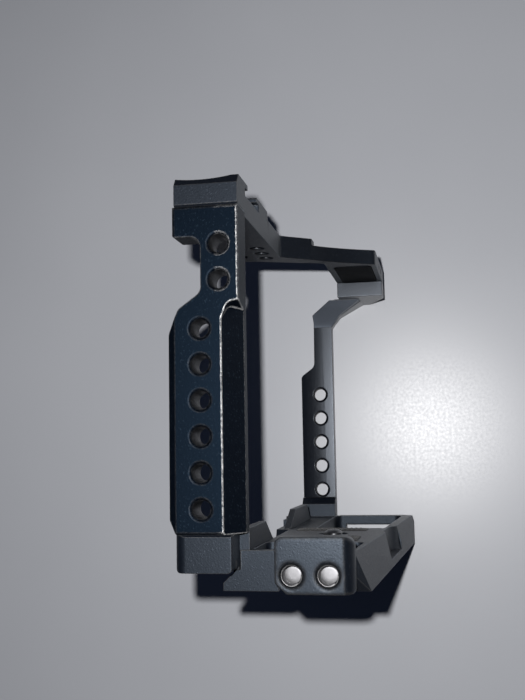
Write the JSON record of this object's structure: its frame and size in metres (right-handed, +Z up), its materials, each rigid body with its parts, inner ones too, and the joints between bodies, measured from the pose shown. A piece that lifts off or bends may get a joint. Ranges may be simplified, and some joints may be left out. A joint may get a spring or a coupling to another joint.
{
  "type": "camera cage",
  "caption": "Bolted aluminium camera cage that wraps a mirrorless body, with a cold shoe, rows of accessory threads, front fences, a strap slot and a captive tripod screw.",
  "frame": {"origin": "on the ground under the middle of the cage's bounding box", "axes": "seen by the camera's user from behind: +X to the right, from the side plate to the grip-side bar; +Y forward, the way the lens points; +Z up"},
  "size_m": [0.1448, 0.0584, 0.1113],
  "materials": {
    "anodised": "black anodised over fine sandblasting, satin",
    "fastener": "black oxide, satin",
    "screw_steel": "plain stainless, turned",
    "rubber": "matt"
  },
  "bodies": {
    "frame": {"left_side_plate": "anodised", "top_plate": "anodised", "top_corner_screws": "fastener", "grip_side_bar": "anodised", "bar_top_screws": "fastener", "bar_foot_screws": "fastener", "base_plate": "anodised", "foot_screw": "fastener", "foot_pin": "fastener", "side_mount_block": "anodised", "block_inserts": "screw_steel", "block_screws": "fastener", "left_fence": "anodised", "right_fence": "anodised", "fence_screws": "fastener", "left_pad": "rubber", "right_pad": "rubber", "grip_pad": "rubber"},
    "clip": {"screw_clip": "screw_steel"},
    "screw": {"camera_screw": "screw_steel"}
  },
  "joints": [
    {"name": "screw_lift", "type": "slide", "parent": "frame", "child": "clip", "axis": [0, 0, 1], "range_m": [0, 0.0028]},
    {"name": "screw_turn", "type": "hinge", "parent": "clip", "child": "screw", "pos_m": [-0.01185, -0.0069, 0.0068], "axis": [0, 0, 1], "range_deg": [0, 793.7]}
  ],
  "couplings": [
    {"joint": "screw_turn", "follows": "screw_lift", "rad_per_m": 4947.4}
  ]
}
